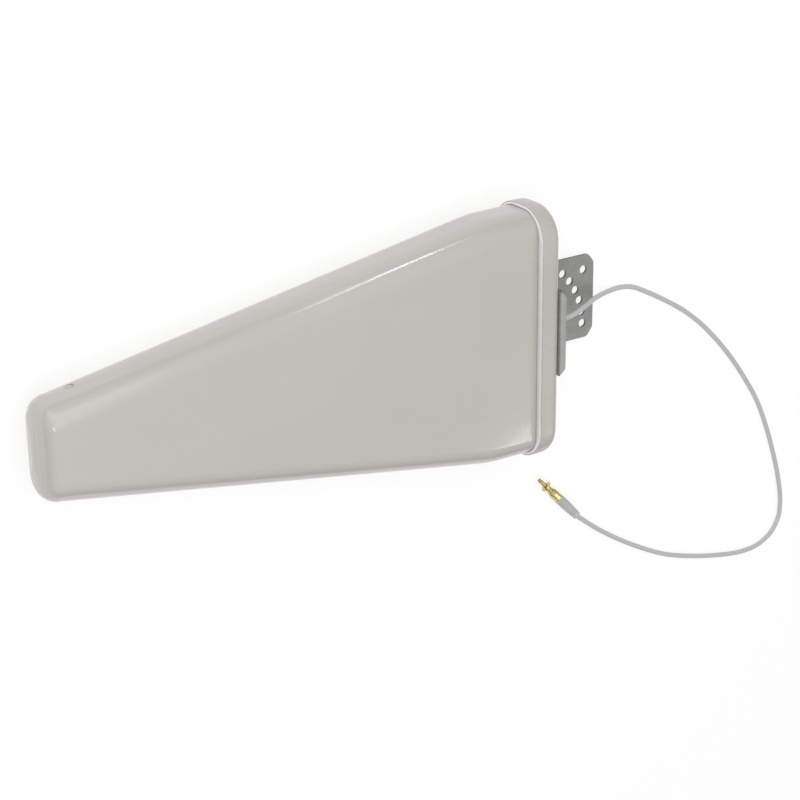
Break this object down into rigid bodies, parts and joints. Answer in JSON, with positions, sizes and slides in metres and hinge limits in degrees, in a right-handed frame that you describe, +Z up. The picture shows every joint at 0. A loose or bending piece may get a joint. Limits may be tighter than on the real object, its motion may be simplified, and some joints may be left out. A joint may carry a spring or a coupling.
{
  "type": "enclosed log-periodic directional antenna",
  "caption": "Tapered plastic radome around a twin-boom dipole array, with a rear cap, a bent steel mounting bracket with an arc of tilt holes, and a coaxial pigtail ending in a gilt plug.",
  "frame": {"origin": "bottom centre of the antenna's box, without the cable and its plug, on the surface that it lies on", "axes": "+X along the booms from the radome's nose to the bracket, so the antenna radiates towards -X; +Y across the wide side; +Z up, with the antenna lying on its broad side"},
  "size_m": [0.7497, 0.3925, 0.064],
  "materials": {
    "radome_plastic": "glossy light warm-grey moulded plastic",
    "cap_plastic": "semi-gloss light warm-grey moulded plastic",
    "sealant": "satin pale grey sealing ring",
    "bracket_steel": "dull rolled galvanised sheet steel",
    "zinc_fasteners": "zinc-plated steel",
    "cable_jacket": "satin light-grey PVC jacket",
    "soft_grey_sleeve": "matt light-grey heat-shrink and moulded rubber",
    "gilt_metal": "bright gilt plating",
    "white_insulator": "white PTFE",
    "nylon": "natural nylon",
    "aluminium": "mill-finish extruded and turned aluminium"
  },
  "bodies": {
    "antenna": {"boom_lock_screw_lower": "zinc_fasteners", "boom_lock_screw_upper": "zinc_fasteners", "boom_spacer_1": "nylon", "boom_spacer_2": "nylon", "bracket_screw_1": "zinc_fasteners", "bracket_screw_2": "zinc_fasteners", "bracket_screw_3": "zinc_fasteners", "bracket_screw_4": "zinc_fasteners", "bracket_washer_1": "zinc_fasteners", "bracket_washer_2": "zinc_fasteners", "bracket_washer_3": "zinc_fasteners", "bracket_washer_4": "zinc_fasteners", "cable_sleeve": "soft_grey_sleeve", "cable_strain_relief": "soft_grey_sleeve", "cap_seal": "sealant", "centre_pin": "gilt_metal", "coax_cable": "cable_jacket", "connector_body": "gilt_metal", "contact_barrel": "gilt_metal", "contact_insulator": "white_insulator", "dipole_01_lower": "aluminium", "dipole_01_upper": "aluminium", "dipole_02_lower": "aluminium", "dipole_02_upper": "aluminium", "dipole_03_lower": "aluminium", "dipole_03_upper": "aluminium", "dipole_04_lower": "aluminium", "dipole_04_upper": "aluminium", "dipole_05_lower": "aluminium", "dipole_05_upper": "aluminium", "dipole_06_lower": "aluminium", "dipole_06_upper": "aluminium", "dipole_07_lower": "aluminium", "dipole_07_upper": "aluminium", "dipole_08_lower": "aluminium", "dipole_08_upper": "aluminium", "dipole_09_lower": "aluminium", "dipole_09_upper": "aluminium", "dipole_10_lower": "aluminium", "dipole_10_upper": "aluminium", "dipole_11_lower": "aluminium", "dipole_11_upper": "aluminium", "drain_plug": "cap_plastic", "feed_coax": "cable_jacket", "feed_link": "gilt_metal", "feed_screw": "zinc_fasteners", "lower_boom": "aluminium", "mounting_block": "aluminium", "mounting_bracket": "bracket_steel", "nose_support": "nylon", "radome_shell": "radome_plastic", "rear_cap": "cap_plastic", "upper_boom": "aluminium"},
    "coupling_collar": {"coupling_collar": "gilt_metal"}
  },
  "joints": [
    {"name": "collar_spin", "type": "hinge", "parent": "antenna", "child": "coupling_collar", "pos_m": [0.21285, -0.15956, 0.0046], "axis": [0.6837, -0.7298, 0], "continuous": true}
  ]
}
